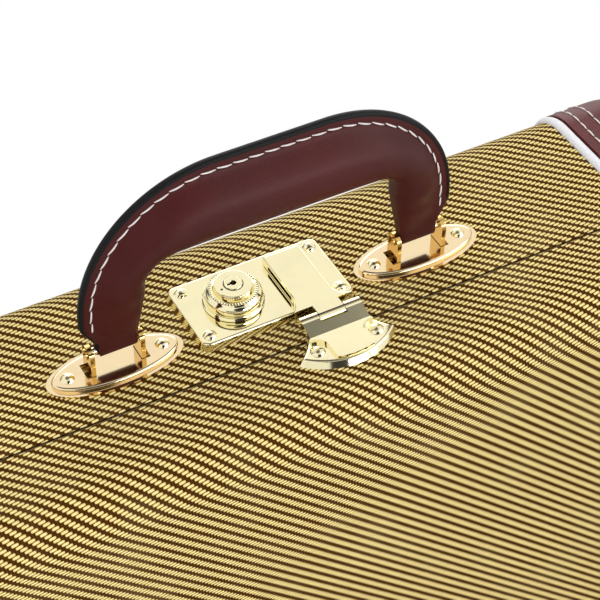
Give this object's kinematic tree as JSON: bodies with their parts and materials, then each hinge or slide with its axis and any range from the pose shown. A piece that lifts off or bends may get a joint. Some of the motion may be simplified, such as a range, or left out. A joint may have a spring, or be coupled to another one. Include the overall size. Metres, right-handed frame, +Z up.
{
  "type": "harmonica case",
  "caption": "Hard carrying case with a hinged lid, a hasp with a key lock, a padded handle and a slotted insert that holds harmonicas.",
  "frame": {"origin": "centre of the case's bounding box, at the bottom of the feet on the hinge side", "axes": "+X along the case towards its right end, +Y from the lid's face to the base's back, +Z up through the wall that carries the handle"},
  "size_m": [0.424, 0.12, 0.373],
  "materials": {
    "tweed": "woven tweed twill, straw yellow on dark brown",
    "leather": "burgundy leather, satin",
    "edge_paint": "black edge paint",
    "piping": "white piping",
    "ply": "birch ply",
    "plush": "dark red plush",
    "foam": "foam block flocked in dark red",
    "gold": "gold plated, polished",
    "hinge_brass": "gold plated, satin",
    "steel": "plain steel",
    "core": "stiff rope core"
  },
  "bodies": {
    "base": {"base_shell": "ply", "base_cover": "tweed", "base_leather_left": "leather", "base_leather_right": "leather", "base_piping_left": "piping", "base_piping_right": "piping", "base_lining": "plush", "rim_strip": "plush", "foam_frame": "foam", "slot_floor": "foam", "row_divider": "foam", "slot_dividers": "foam", "bay_divider": "foam", "bay_floor": "foam", "base_feet": "hinge_brass", "base_hinge_leaves": "hinge_brass", "hinge_pins": "hinge_brass", "base_hinge_rivets": "hinge_brass", "loop_plate_left": "gold", "loop_plate_right": "gold", "loop_bracket_left": "gold", "loop_bracket_right": "gold", "loop_pins": "gold", "loop_rivets": "gold", "lock_plate": "gold", "lock_case": "steel", "lock_rivets": "gold", "lock_spring": "steel"},
    "lid": {"lid_shell": "ply", "lid_cover": "tweed", "lid_leather_left": "leather", "lid_leather_right": "leather", "lid_piping_left": "piping", "lid_piping_right": "piping", "lid_lining": "plush", "lid_pad": "plush", "lid_feet": "hinge_brass", "lid_hinge_leaves": "hinge_brass", "lid_hinge_rivets": "hinge_brass", "hasp_plate": "gold", "hasp_pin": "gold", "hasp_screws": "gold"},
    "hasp": {"hasp_leaf": "gold"},
    "lock_slider": {"lock_slide": "steel", "lock_boss": "gold"},
    "key_plug": {"key_plug": "gold"},
    "handle": {"handle_core": "core", "handle_grip": "leather", "handle_fin": "leather", "handle_edge": "edge_paint"}
  },
  "joints": [
    {"name": "lid_hinge", "type": "hinge", "parent": "base", "child": "lid", "pos_m": [0, -0.01855, 0.00525], "axis": [1, 0, 0], "range_deg": [0, 100]},
    {"name": "hasp_hinge", "type": "hinge", "parent": "lid", "child": "hasp", "pos_m": [0.0166, -0.01385, 0.2929], "axis": [1, 0, 0], "range_deg": [0, 100]},
    {"name": "lock_slide", "type": "slide", "parent": "base", "child": "lock_slider", "axis": [-1, 0, 0], "range_m": [0, 0.005], "stiffness_N_per_m": 250},
    {"name": "key_turn", "type": "hinge", "parent": "lock_slider", "child": "key_plug", "pos_m": [-0.012, 0.01105, 0.288], "axis": [0, 0, 1], "range_deg": [0, 90]},
    {"name": "handle_hinge", "type": "hinge", "parent": "base", "child": "handle", "pos_m": [0, 0.00365, 0.3], "axis": [1, 0, 0], "range_deg": [-80, 80]}
  ]
}
